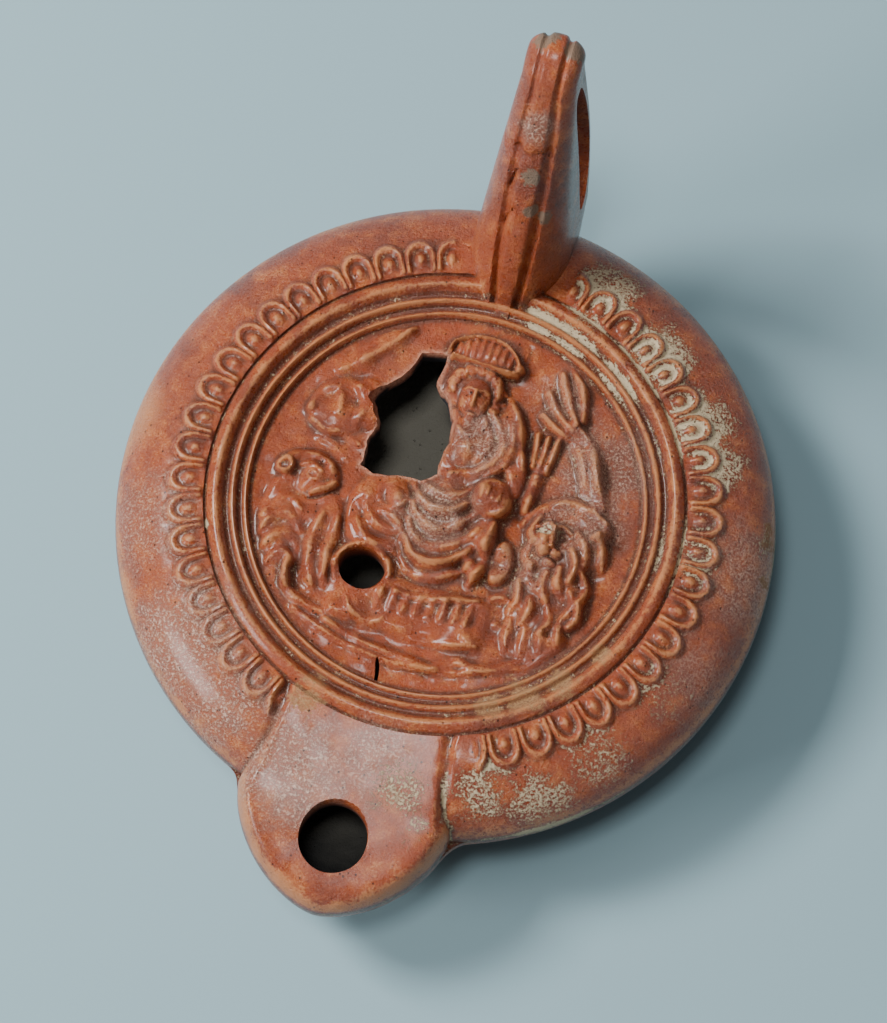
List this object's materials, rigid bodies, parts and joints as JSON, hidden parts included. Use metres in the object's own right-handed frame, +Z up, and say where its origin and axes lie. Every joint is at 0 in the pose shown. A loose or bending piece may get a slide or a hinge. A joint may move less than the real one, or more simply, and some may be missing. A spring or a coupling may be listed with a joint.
{
  "type": "oil lamp",
  "caption": "Round mould-made clay oil lamp, hollow, with a sunk relief field, short nozzle with wick hole, filling hole and pierced upright handle; the field is broken through.",
  "frame": {"origin": "middle of the flat underside, on the axis of the round body", "axes": "+Z up, -Y towards the nozzle, +Y towards the handle, +X to the right when seen from the nozzle"},
  "size_m": [0.096, 0.1192, 0.0645],
  "materials": {
    "slip": "worn orange-red slip, satin, with lime crust"
  },
  "bodies": {
    "root": {"lamp": "slip"}
  },
  "joints": []
}
